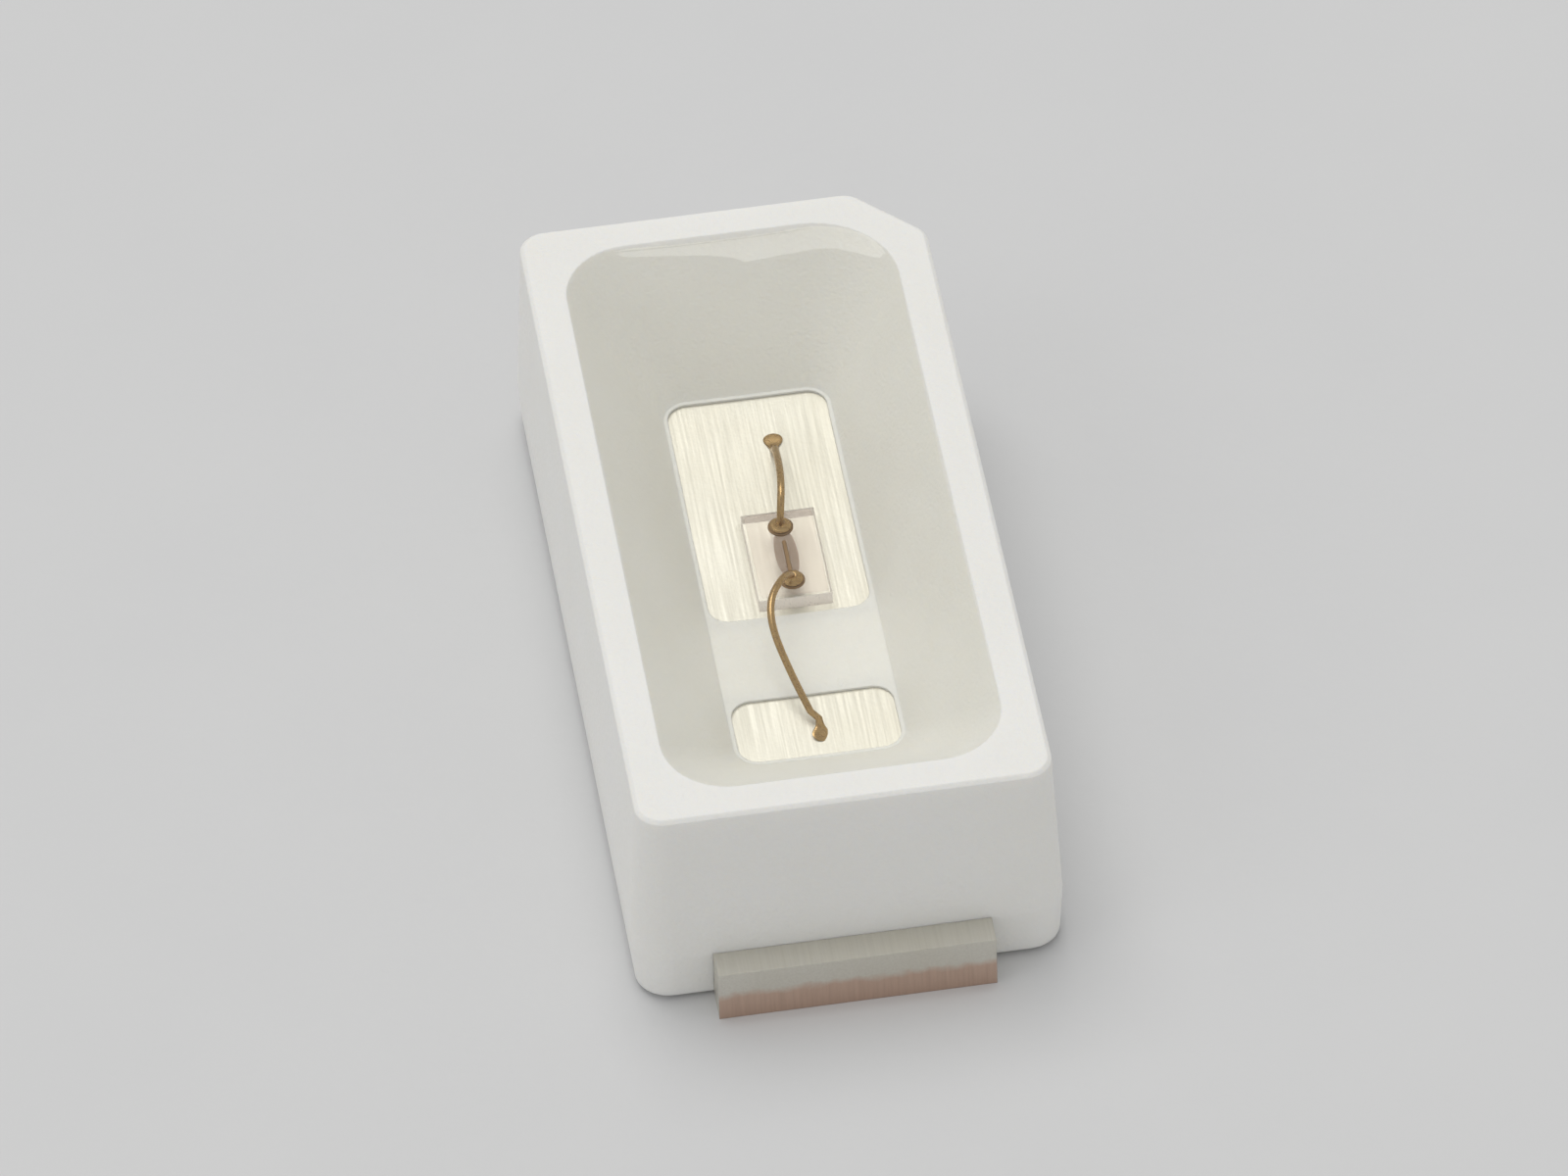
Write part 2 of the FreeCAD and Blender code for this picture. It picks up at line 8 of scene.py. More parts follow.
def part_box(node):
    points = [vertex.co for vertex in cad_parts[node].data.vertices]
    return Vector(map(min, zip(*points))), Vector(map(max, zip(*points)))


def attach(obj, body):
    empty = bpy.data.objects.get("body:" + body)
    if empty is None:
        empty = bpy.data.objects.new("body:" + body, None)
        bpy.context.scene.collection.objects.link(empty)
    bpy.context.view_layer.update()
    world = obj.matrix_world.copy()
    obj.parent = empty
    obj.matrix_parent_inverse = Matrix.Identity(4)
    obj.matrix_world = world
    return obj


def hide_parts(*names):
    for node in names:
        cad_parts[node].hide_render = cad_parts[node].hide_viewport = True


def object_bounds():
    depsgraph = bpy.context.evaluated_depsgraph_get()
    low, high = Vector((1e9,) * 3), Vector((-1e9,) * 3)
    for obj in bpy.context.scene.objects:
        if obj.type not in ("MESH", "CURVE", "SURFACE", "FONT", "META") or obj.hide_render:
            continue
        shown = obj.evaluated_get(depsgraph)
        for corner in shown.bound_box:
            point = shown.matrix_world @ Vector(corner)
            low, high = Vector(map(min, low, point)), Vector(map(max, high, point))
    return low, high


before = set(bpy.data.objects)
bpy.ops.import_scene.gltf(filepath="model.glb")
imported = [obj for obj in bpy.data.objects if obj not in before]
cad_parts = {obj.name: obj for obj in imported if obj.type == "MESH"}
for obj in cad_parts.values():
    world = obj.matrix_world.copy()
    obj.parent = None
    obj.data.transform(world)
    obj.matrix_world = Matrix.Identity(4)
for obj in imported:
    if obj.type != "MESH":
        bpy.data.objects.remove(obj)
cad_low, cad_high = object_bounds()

# The looks of a top-view surface-mount LED, 3 mm long. The frame's housing and leads stay and
# get their finish here. The die, its contacts, the wires and the silicone are finer meshes
# that stand for the frame's own. Sizes are in metres, worked out from MM and MICRON.

MM = 0.001
MICRON = 0.000001

# Planes and sizes that the frame gives
PACKAGE_END = cad_high.y
PACKAGE_HEIGHT = cad_high.z
LEAD_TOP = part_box("lead_large")[1].z
DIE_LOW, DIE_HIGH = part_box("die_substrate")
LAYERS_LOW, LAYERS_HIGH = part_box("die_epitaxy")
N_CONTACT_LOW, N_CONTACT_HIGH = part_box("n_electrode")
P_CONTACT_LOW, P_CONTACT_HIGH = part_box("p_electrode")
ATTACH_LOW, ATTACH_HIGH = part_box("die_attach")
DIE_MIDDLE = (DIE_LOW + DIE_HIGH) / 2
DIE_HALF = (DIE_HIGH - DIE_LOW).xy / 2
N_CONTACT_MIDDLE = (N_CONTACT_LOW + N_CONTACT_HIGH) / 2
CONTACT_RADIUS = (N_CONTACT_HIGH.x - N_CONTACT_LOW.x) / 2
# The p contact's box holds its finger too, so its disc is placed from the box's lowest corner
P_CONTACT_MIDDLE = P_CONTACT_LOW + Vector((CONTACT_RADIUS, CONTACT_RADIUS, 0))
# The die's painted shade, a dark patch from one contact to the other
PAINTED_SHADE_MIDDLE = (P_CONTACT_LOW + N_CONTACT_HIGH) / 2
PAINTED_SHADE_HALF = Vector((0.040, 0.125)) * MM

# Reflector cavity: its outline at the rim and at its floor
FLOOR_TOP = 0.215 * MM
MOUTH_HALF = Vector((0.5486, 1.2486)) * MM
MOUTH_RADIUS = 0.22 * MM
MOUTH_POLARITY_RADIUS = 0.29 * MM
FLOOR_HALF = Vector((0.29, 0.85)) * MM
FLOOR_RADIUS = 0.09 * MM

# The photograph's camera: its place seen from the middle of the package's top, and its roll
CAMERA_FROM_TOP = Vector((-3.73, -28.09, 28.49)) * MM
CAMERA_ROLL = math.radians(1.9)
CAMERA_AIM = Vector((0.0, -0.02, 0.40)) * MM
CAMERA_LENS = 285.0
SENSOR_WIDTH = 36.0

# The floor that the package stands on, a hair under its solder pads
GROUND_HALF = 250 * MM
GROUND_DROP = 0.5 * MICRON


# Scene: camera, floor, light


def make_camera():
    """A long lens where the photograph's camera stood, aimed at the package."""
    data = bpy.data.cameras.new("camera")
    data.sensor_width = SENSOR_WIDTH
    data.lens = CAMERA_LENS
    data.clip_start = 1.0 * MM
    data.clip_end = 10.0
    camera = bpy.data.objects.new("camera", data)
    bpy.context.scene.collection.objects.link(camera)
    camera.location = Vector((0, 0, PACKAGE_HEIGHT)) + CAMERA_FROM_TOP
    aim = CAMERA_AIM - camera.location
    camera.rotation_mode = "QUATERNION"
    roll = Quaternion((0, 0, 1), -CAMERA_ROLL)
    camera.rotation_quaternion = aim.to_track_quat("-Z", "Y") @ roll
    bpy.context.scene.camera = camera


def make_area_light(name, place, side, power, colour):
    """A square lamp that faces the package."""
    data = bpy.data.lights.new(name, "AREA")
    data.shape = "SQUARE"
    data.size = side
    data.energy = power
    data.color = colour
    lamp = bpy.data.objects.new(name, data)
    bpy.context.scene.collection.objects.link(lamp)
    lamp.location = place
    lamp.rotation_mode = "QUATERNION"
    lamp.rotation_quaternion = (-Vector(place)).to_track_quat("-Z", "Y")


def make_world(colour, strength):
    """A plain pale surround that lights the package from all sides."""
    world = bpy.data.worlds.new("surround")
    bpy.context.scene.world = world
    world.use_nodes = True
    background = world.node_tree.nodes["Background"]
    background.inputs["Color"].default_value = (*colour, 1)
    background.inputs["Strength"].default_value = strength


def make_object(name, form, material):
    """An object for a form's points and faces, with its faces turned outwards."""
    points, faces = form
    mesh = bpy.data.meshes.new(name)
    mesh.from_pydata([tuple(p) for p in points], [], faces)
    shape = bmesh.new()
    shape.from_mesh(mesh)
    bmesh.ops.recalc_face_normals(shape, faces=shape.faces)
    shape.to_mesh(mesh)
    shape.free()
    mesh.materials.append(material)
    piece = bpy.data.objects.new(name, mesh)
    bpy.context.scene.collection.objects.link(piece)
    return piece


def stand_in(name, form, material, smooth_angle, node):
    """A finer mesh in a node's place, shaded smooth up to an angle between its faces."""
    piece = make_object(name, form, material)
    piece.data.shade_smooth()
    piece.data.set_sharp_from_angle(angle=math.radians(smooth_angle))
    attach(piece, "root")
    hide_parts(node)


def make_floor(material):
    """A plain pale floor."""
    half = GROUND_HALF
    corners = [(-half, -half), (half, -half), (half, half), (-half, half)]
    points = [(x, y, -GROUND_DROP) for x, y in corners]
    floor = make_object("floor", (points, [(0, 1, 2, 3)]), material)


# Shader building blocks


class Shader:
    """A node material with a Principled shader and the means to add to it."""

    def __init__(self, name):
        self.material = bpy.data.materials.new(name)
        self.material.use_nodes = True
        self.tree = self.material.node_tree
        self.principled = self.tree.nodes["Principled BSDF"]
        self.output = self.tree.nodes["Material Output"]
        place = self.add("ShaderNodeTexCoord")
        # Textures are laid out in millimetres on the part
        to_mm = self.add("ShaderNodeVectorMath", operation="SCALE")
        to_mm.inputs["Scale"].default_value = 1 / MM
        self.join(place.outputs["Object"], to_mm.inputs[0])
        self.place = to_mm.outputs[0]

    def add(self, kind, **settings):
        node = self.tree.nodes.new(kind)
        for name, value in settings.items():
            setattr(node, name, value)
        return node

    def join(self, source, target):
        self.tree.links.new(source, target)

    def feed(self, node, name, value):
        """Set an input to a number, a colour or another node's output."""
        socket = node.inputs[name]
        if isinstance(value, bpy.types.NodeSocket):
            self.join(value, socket)
        elif isinstance(value, tuple) and socket.type == "RGBA":
            socket.default_value = (*value, 1)
        else:
            socket.default_value = value

    def set(self, **values):
        """Set inputs of the Principled shader, with _ for a space in their names."""
        for name, value in values.items():
            self.feed(self.principled, name.replace("_", " "), value)

    def stretched(self, x, y, z):
        """The place, with a scale of its own along each axis."""
        scale = self.add("ShaderNodeVectorMath", operation="MULTIPLY")
        self.join(self.place, scale.inputs[0])
        scale.inputs[1].default_value = (x, y, z)
        return scale.outputs[0]

    def noise(self, per_mm, detail=2.0, place=None):
        node = self.add("ShaderNodeTexNoise")
        self.join(place or self.place, node.inputs["Vector"])
        node.inputs["Scale"].default_value = per_mm
        node.inputs["Detail"].default_value = detail
        return node.outputs["Fac"]

    def cells(self, per_mm):
        """The distance from the middle of small cells."""
        node = self.add("ShaderNodeTexVoronoi")
        self.join(self.place, node.inputs["Vector"])
        node.inputs["Scale"].default_value = per_mm
        return node.outputs["Distance"]

    def spread(self, value, low, high, new_low=0.0, new_high=1.0):
        """Map a value from one range to another, kept inside it."""
        node = self.add("ShaderNodeMapRange")
        self.feed(node, "Value", value)
        self.feed(node, "From Min", low)
        self.feed(node, "From Max", high)
        self.feed(node, "To Min", new_low)
        self.feed(node, "To Max", new_high)
        return node.outputs["Result"]

    def math(self, operation, one, other=0.0):
        node = self.add("ShaderNodeMath", operation=operation)
        self.feed(node, 0, one)
        self.feed(node, 1, other)
        return node.outputs[0]

    def mix(self, share, one, other):
        """A colour between two. Inputs 0, 6 and 7 are the share and the two colours."""
        node = self.add("ShaderNodeMix", data_type="RGBA")
        self.feed(node, 0, share)
        self.feed(node, 6, one)
        self.feed(node, 7, other)
        return node.outputs[2]

    def bump(self, height, depth, normal=None, strength=1.0):
        node = self.add("ShaderNodeBump")
        node.inputs["Strength"].default_value = strength
        node.inputs["Distance"].default_value = depth
        self.join(height, node.inputs["Height"])
        if normal is not None:
            self.join(normal, node.inputs["Normal"])
        return node.outputs["Normal"]

    def soft_edges(self, radius):
        """The normal of edges that are rounded by a radius."""
        node = self.add("ShaderNodeBevel", samples=4)
        node.inputs["Radius"].default_value = radius
        return node.outputs["Normal"]

    def axis(self, name, source=None):
        """The place along one axis in millimetres, or one part of another vector."""
        node = self.add("ShaderNodeSeparateXYZ")
        self.join(source or self.place, node.inputs[0])
        return node.outputs[name]

    def let_light_through(self, tint):
        """Let lamps and bounced light pass straight through, so that they reach what is inside.

        Sight meets the surface itself, also where the silicone has bent it.
        """
        path = self.add("ShaderNodeLightPath")
        bent = path.outputs["Is Transmission Ray"]
        mirrored = self.math("SUBTRACT", path.outputs["Is Glossy Ray"], bent)
        bounced = self.math("MAXIMUM", path.outputs["Is Diffuse Ray"], mirrored)
        passing = self.math("MAXIMUM", path.outputs["Is Shadow Ray"], bounced)
        clear = self.add("ShaderNodeBsdfTransparent")
        self.feed(clear, "Color", tint)
        choice = self.add("ShaderNodeMixShader")
        self.join(passing, choice.inputs[0])
        self.join(self.principled.outputs[0], choice.inputs[1])
        self.join(clear.outputs[0], choice.inputs[2])
        self.join(choice.outputs[0], self.output.inputs["Surface"])


# Finishes


def floor_finish():
    """Pale matte paper with a faint tooth."""
    s = Shader("pale_paper")
    tone = s.noise(1.3, 3.0)
    s.set(Base_Color=s.mix(tone, (0.665, 0.668, 0.675), (0.690, 0.692, 0.696)))
    s.set(Roughness=0.9)
    s.set(Normal=s.bump(s.noise(9.0, 4.0), 4 * MICRON, strength=0.5))
    return s.material


def white_plastic():
    """Heat-resistant nylon full of white pigment, with the mould's fine spark-worn texture."""
    s = Shader("white_plastic")
    clouds = s.noise(2.2, 3.0)
    grains = s.cells(58.0)
    warm = s.mix(s.spread(clouds, 0.3, 0.7), (0.868, 0.861, 0.826), (0.888, 0.883, 0.856))
    speck = s.spread(grains, 0.0, 0.22, 0.10, 0.0)
    s.set(Base_Color=s.mix(speck, warm, (0.68, 0.66, 0.60)))
    s.set(Roughness=s.spread(s.noise(30.0, 3.0), 0.3, 0.7, 0.40, 0.60))
    s.set(Subsurface_Weight=0.35, Subsurface_Scale=45 * MICRON)
    s.principled.inputs["Subsurface Radius"].default_value = (1.0, 0.92, 0.78)
    edges = s.soft_edges(7 * MICRON)
    flow = s.bump(s.noise(5.0, 2.0), 5 * MICRON, edges, 0.5)
    texture = s.math("ADD", s.noise(62.0, 3.0), s.math("MULTIPLY", grains, 0.35))
    s.set(Normal=s.bump(texture, 3.0 * MICRON, flow, 0.8))
    return s.material


# The tabs' cut ends: the depths between which their finish comes in, the heights between which
# the silver gives way to torn copper, and how far that line wanders
CUT_DEPTH = 1.5 * MICRON
CUT_FULL_DEPTH = 0.8 * MICRON
SILVER_FOOT = 0.118 * MM
TORN_TOP = 0.084 * MM
TORN_WANDER = 12 * MICRON


def silver_plate():
    """Matte silver on rolled copper; the cut ends of the tabs show the copper."""
    s = Shader("silver_plate")
    rolling = s.noise(1.0, 3.0, s.stretched(120.0, 2.5, 120.0))
    grain = s.cells(75.0)
    tarnish = s.spread(s.noise(2.6, 4.0), 0.42, 0.72)
    silver = s.mix(tarnish, (0.715, 0.697, 0.635), (0.688, 0.664, 0.590))
    silver = s.mix(s.spread(rolling, 0.35, 0.75, 0.0, 0.35), silver, (0.64, 0.618, 0.556))

    # The shear's burnished band is silver drawn down over the copper; the rest is torn
    reach = s.math("ABSOLUTE", s.axis("Y"))
    end = s.spread(reach, (PACKAGE_END - CUT_DEPTH) / MM, (PACKAGE_END - CUT_FULL_DEPTH) / MM)
    wander = s.spread(s.noise(16.0, 4.0), 0.3, 0.7, -TORN_WANDER / MM, TORN_WANDER / MM)
    height = s.math("ADD", s.axis("Z"), wander)
    torn = s.spread(height, SILVER_FOOT / MM, TORN_TOP / MM)
    streaks = s.noise(1.0, 2.0, s.stretched(90.0, 90.0, 5.0))
    copper = s.mix(streaks, (0.55, 0.40, 0.32), (0.70, 0.53, 0.43))
    bare = s.math("MULTIPLY", end, torn)
    s.set(Base_Color=s.mix(bare, silver, copper), Metallic=1.0)
    smooth = s.spread(rolling, 0.3, 0.7, 0.46, 0.58)
    s.set(Roughness=s.spread(bare, 0.0, 1.0, smooth, 0.45))
    edges = s.soft_edges(5 * MICRON)
    rolled = s.bump(rolling, 0.5 * MICRON, edges, 0.7)
    plated = s.bump(grain, 0.5 * MICRON, rolled, 0.5)
    s.set(Normal=s.bump(s.math("MULTIPLY", streaks, end), 3 * MICRON, plated, 0.8))
    return s.material


def gold_wire():
    """Drawn gold, with faint lines and soft dents."""
    s = Shader("gold_wire")
    lines = s.noise(60.0, 3.0)
    # Painted shade: the gold's colour is darkened to stand in for the dim surroundings that the wire
    # mirrors
    s.set(Base_Color=s.mix(lines, (0.36, 0.235, 0.11), (0.50, 0.345, 0.17)), Metallic=1.0)
    s.set(Roughness=s.spread(lines, 0.3, 0.7, 0.24, 0.34))
    s.set(Normal=s.bump(s.noise(70.0, 2.0), 0.25 * MICRON, strength=0.5))
    return s.material


def contact_metal():
    """Evaporated gold, finely grained and a little duller than the wire; its dark colour is painted
    shade.
    """
    s = Shader("contact_metal")
    grain = s.cells(260.0)
    cloud = s.noise(30.0, 2.0)
    # Painted shade: the colour is darker still than the wire's, standing in for the dim reflections
    # on the contacts
    s.set(Base_Color=s.mix(cloud, (0.25, 0.165, 0.095), (0.34, 0.23, 0.13)), Metallic=1.0)
    s.set(Roughness=s.spread(cloud, 0.3, 0.7, 0.55, 0.70))
    s.set(Normal=s.bump(grain, 0.3 * MICRON, strength=0.5))
    return s.material


def sapphire():
    """Clear crystal, polished above and rough where it was scribed and broken apart."""
    s = Shader("sapphire")
    facing = s.add("ShaderNodeNewGeometry").outputs["Normal"]
    side = s.spread(s.math("ABSOLUTE", s.axis("Z", facing)), 0.85, 0.5)
    scribe = s.noise(1.0, 3.0, s.stretched(160.0, 160.0, 30.0))
    s.set(Base_Color=s.mix(side, (0.99, 0.985, 0.98), (0.97, 0.91, 0.88)))
    s.set(Transmission_Weight=s.spread(side, 0.0, 1.0, 1.0, 0.12), IOR=1.25)
    s.set(Roughness=s.spread(side, 0.0, 1.0, 0.02, s.spread(scribe, 0.3, 0.7, 0.20, 0.5)))
    rough = s.math("MULTIPLY", scribe, side)
    s.set(Normal=s.bump(rough, 3 * MICRON, strength=0.7))
    s.let_light_through((0.99, 0.985, 0.98))
    return s.material


def semiconductor():
    """Light-emitting layers, tinted pink, with painted shade, a dark patch, under and beside the
    finger.
    """
    s = Shader("semiconductor")
    tint = s.noise(6.0, 2.0)
    dots = s.cells(200.0)
    across = s.math("SUBTRACT", s.axis("X"), PAINTED_SHADE_MIDDLE.x / MM)
    along = s.math("SUBTRACT", s.axis("Y"), PAINTED_SHADE_MIDDLE.y / MM)
    across = s.math("DIVIDE", across, PAINTED_SHADE_HALF.x / MM)
    along = s.math("DIVIDE", along, PAINTED_SHADE_HALF.y / MM)
    reach = s.math("ADD", s.math("MULTIPLY", across, across), s.math("MULTIPLY", along, along))
    # Painted shade: a dark, nearly opaque brown patch between the contacts, standing in for the
    # balls' shadow and dim reflections
    painted_shade = s.spread(reach, 1.05, 0.90)
    pink = s.mix(s.spread(tint, 0.3, 0.7), (0.95, 0.70, 0.62), (0.97, 0.80, 0.70))
    pink = s.mix(s.spread(dots, 0.0, 0.5, 0.25, 0.0), pink, (0.86, 0.76, 0.70))
    s.set(Base_Color=s.mix(painted_shade, pink, (0.24, 0.15, 0.09)))
    s.set(Roughness=s.spread(tint, 0.3, 0.7, 0.08, 0.16), Alpha=s.spread(painted_shade, 0.0, 1.0, 0.19, 0.88))
    s.set(Normal=s.bump(dots, 0.15 * MICRON, strength=0.4))
    return s.material


def die_bond_resin():
    """The thin clear resin that creeps up round the die's foot."""
    s = Shader("die_bond_resin")
    cloud = s.noise(24.0, 3.0)
    s.set(Base_Color=s.mix(cloud, (0.80, 0.76, 0.62), (0.90, 0.87, 0.76)))
    s.set(Roughness=s.spread(cloud, 0.3, 0.7, 0.10, 0.25), Alpha=0.10)
    s.set(Normal=s.bump(cloud, 2 * MICRON, strength=0.5))
    return s.material


def clear_silicone():
    """Soft clear silicone with a barely uneven, glossy surface."""
    s = Shader("clear_silicone")
    s.set(Base_Color=s.mix(s.noise(1.5, 2.0), (0.975, 0.970, 0.930), (0.985, 0.982, 0.950)))
    s.set(Transmission_Weight=1.0, IOR=1.41)
    s.set(Roughness=s.spread(s.noise(14.0, 3.0), 0.45, 0.75, 0.0, 0.03))
    s.set(Normal=s.bump(s.noise(3.5, 1.0), 0.8 * MICRON, strength=0.4))
    s.let_light_through((0.983, 0.979, 0.945))
    return s.material


# Outlines and simple forms


def rounded_rectangle(half, radii, corner_steps=12, long_steps=28, short_steps=12):
    """Points round a rectangle from its corner at +X, +Y, turning left.

    radii are for the corners +X+Y, -X+Y, -X-Y and +X-Y.
    """
    signs = [(1, 1), (-1, 1), (-1, -1), (1, -1)]
    points = []
    for index, (sign_x, sign_y) in enumerate(signs):
        radius = radii[index]
        centre = Vector((sign_x * (half.x - radius), sign_y * (half.y - radius)))
        start = index * math.pi / 2
        for step in range(corner_steps + 1):
            angle = start + math.pi / 2 * step / corner_steps
            points.append(centre + Vector((math.cos(angle), math.sin(angle))) * radius)
        following = (index + 1) % 4
        next_radius = radii[following]
        next_x, next_y = signs[following]
        next_centre = Vector((next_x * (half.x - next_radius), next_y * (half.y - next_radius)))
        angle = start + math.pi / 2
        landing = next_centre + Vector((math.cos(angle), math.sin(angle))) * next_radius
        steps = short_steps if index % 2 == 0 else long_steps
        leaving = points[-1].copy()
        points += [leaving.lerp(landing, step / steps) for step in range(1, steps)]
    return points


def grown(half, margin):
    """Half sizes with a margin added to each."""
    return half + Vector((margin, margin))


def cavity_outline(height, grow=0.0):
    """The cavity's outline at a height: its walls run straight from the rim to the floor."""
    mouth_radii = [MOUTH_POLARITY_RADIUS, MOUTH_RADIUS, MOUTH_RADIUS, MOUTH_RADIUS]
    mouth = rounded_rectangle(grown(MOUTH_HALF, grow), [r + grow for r in mouth_radii])
    floor = rounded_rectangle(grown(FLOOR_HALF, grow), [FLOOR_RADIUS + grow] * 4)
    share = (height - FLOOR_TOP) / (PACKAGE_HEIGHT - FLOOR_TOP)
    return [low.lerp(high, share) for low, high in zip(floor, mouth)]


def bridge(count, lower_start, upper_start):
    """Faces between two rings that have as many points."""
    return [
        (
            lower_start + i,
            lower_start + (i + 1) % count,
            upper_start + (i + 1) % count,
            upper_start + i,
        )
        for i in range(count)
    ]


def stacked(rings, close=True):
    """A form from rings of as many points, one above another, closed at both ends or open."""
    count = len(rings[0])
    points = [p for ring in rings for p in ring]
    faces = []
    for level in range(len(rings) - 1):
        faces += bridge(count, level * count, (level + 1) * count)
    if close:
        faces.append(tuple(range(count)))
        last = (len(rings) - 1) * count
        faces.append(tuple(range(last, last + count)))
    return points, faces


def lathe(profile, centre, sides):
    """A form turned about a vertical axis: profile holds (radius, height) pairs."""
    rings = []
    for radius, height in profile:
        ring = []
        for side in range(sides):
            angle = math.tau * side / sides
            turn = Vector((math.cos(angle), math.sin(angle), 0)) * radius
            ring.append(centre + turn + Vector((0, 0, height)))
        rings.append(ring)
    return stacked(rings)


def smooth_line(points, steps):
    """A line that curves smoothly between its ends, guided by the points between them."""
    middles = [(a + b) / 2 for a, b in zip(points, points[1:])]
    middles[0] = points[0]
    middles[-1] = points[-1]
    line = []
    for start, guide, end in zip(middles, points[1:-1], middles[1:]):
        for step in range(steps):
            share = step / steps
            line.append(start.lerp(guide, share).lerp(guide.lerp(end, share), share))
    line.append(points[-1].copy())
    return line


def joined(*forms):
    """Several forms as one."""
    all_points = []
    all_faces = []
    for points, faces in forms:
        first = len(all_points)
        all_points += points
        all_faces += [tuple(first + index for index in face) for face in faces]
    return all_points, all_faces


# Silicone


# The silicone's top: its lowest height, its rise towards the walls, and its climb up them
MENISCUS_LOW = 0.75 * MM
MENISCUS_RISE = 0.024 * MM
CLIMB = 10 * MICRON
CLIMB_REACH = 22 * MICRON
RIM_GAP = 2 * MICRON
# It reaches a little into the plastic and the leads, so that its sides and bottom don't show
WALL_OVERLAP = 14 * MICRON
BASE_OVERLAP = 3 * MICRON
# Rings of the top surface: how many microns each lies from the wall, then shares of the last
RING_INSETS = [0, 4, 8, 13, 19, 27, 38, 54, 78, 110, 150, 200]
RING_SHARES = [0.86, 0.7, 0.52, 0.34, 0.16]


def meniscus_height(point, inset):
    """The silicone's top: a shallow hollow that climbs the walls over its last microns."""
    bowl = (point.x / MOUTH_HALF.x) ** 2 + (point.y / MOUTH_HALF.y) ** 2
    climb = CLIMB * math.exp(-inset / CLIMB_REACH)
    return min(MENISCUS_LOW + MENISCUS_RISE * bowl + climb, PACKAGE_HEIGHT - RIM_GAP)


def make_silicone(material):
    """The clear fill. Its hidden sides and bottom lie just inside the plastic and the leads."""
    wall_height = MENISCUS_LOW + MENISCUS_RISE + CLIMB
    rings = [(cavity_outline(wall_height, WALL_OVERLAP), 0.0)]
    for inset in RING_INSETS:
        rings.append((cavity_outline(wall_height, -inset * MICRON), inset * MICRON))
    innermost = rings[-1][0]
    # The inner rings lie too far from the walls for the climb to reach them
    for share in RING_SHARES:
        rings.append(([p * share for p in innermost], MOUTH_HALF.x))
    points = [(p.x, p.y, meniscus_height(p, inset)) for ring, inset in rings for p in ring]
    points.append((0, 0, MENISCUS_LOW))
    count = len(innermost)
    faces = []
    for level in range(len(rings) - 1):
        faces += bridge(count, level * count, (level + 1) * count)
    last = (len(rings) - 1) * count
    middle = len(rings) * count
    faces += [(last + i, last + (i + 1) % count, middle) for i in range(count)]

    foot = len(points)
    outline = cavity_outline(FLOOR_TOP, WALL_OVERLAP)
    points += [(p.x, p.y, FLOOR_TOP) for p in outline]
    points += [(p.x, p.y, LEAD_TOP - BASE_OVERLAP) for p in outline]
    faces += bridge(count, foot, 0)
    faces += bridge(count, foot + count, foot)
    faces.append(tuple(range(foot + count, foot + 2 * count)))
    stand_in("silicone_fill", (points, faces), material, 60, "encapsulant")


# Die


# Faces of two pieces never share a plane: this is how far they are kept apart
SINK = 0.4 * MICRON
DIE_CORNER = 3 * MICRON

# The grown layers' edge, and the pit round the n contact: how far its brink, its foot and the
# skin's inner end lie from the contact's rim
LAYERS_SINK = 0.1 * MICRON
LEDGE_BEVEL = 1 * MICRON
LEDGE_WIDTH = 5 * MICRON
LEDGE_CORNER = 8 * MICRON
BROW_CORNER = 10 * MICRON
PIT_BRINK = 12 * MICRON
PIT_FOOT = 11 * MICRON
SKIN_END = -3 * MICRON

# The finger that leads from the p contact towards the n contact
FINGER_HALF_WIDTH = 7 * MICRON
FINGER_CORNER = 6.5 * MICRON
FINGER_TOP_CORNER = 5.5 * MICRON
FINGER_BEVEL = 1.2 * MICRON
FINGER_BEVEL_HEIGHT = 1.5 * MICRON
FINGER_DROP = 0.5 * MICRON

# The bond film's fillet from its outer edge up to the die, as shares of its width and height
FILLET = [(1.0, -0.05), (0.9, 0.06), (0.65, 0.2), (0.4, 0.42), (0.2, 0.7), (0.05, 1.0)]


def die_ring(half, middle, radius, height):
    """A rounded rectangle round a middle, at a height."""
    outline = rounded_rectangle(half, [radius] * 4, corner_steps=6, long_steps=24, short_steps=16)
    return [Vector((middle.x + p.x, middle.y + p.y, height)) for p in outline]


def circle_facing(outline, middle, radius, height):
    """A circle with one point towards each point of an outline round it."""
    circle = []
    for p in outline:
        way = (p - middle).xy.normalized() * radius
        circle.append(Vector((middle.x + way.x, middle.y + way.y, height)))
    return circle


def make_die(material):
    """The sapphire block, its edges chipped a little where it was broken from the wafer."""
    low = DIE_LOW.z + SINK
    high = DIE_HIGH.z - SINK
    thickness = high - low
    # Heights, and how far the sides stand back at each
    levels = [
        (low, 2.0 * MICRON),
        (low + 2 * MICRON, 0.2 * MICRON),
        (low + thickness * 0.35, 0.6 * MICRON),
        (low + thickness * 0.62, 0.0),
        (low + thickness * 0.70, 1.6 * MICRON),
        (low + thickness * 0.78, 0.3 * MICRON),
        (high - 1.5 * MICRON, 0.1 * MICRON),
        (high, 1.4 * MICRON),
    ]
    rings = [die_ring(grown(DIE_HALF, -inset), DIE_MIDDLE, DIE_CORNER, z) for z, inset in levels]
    stand_in("die_block", stacked(rings), material, 30, "die_substrate")


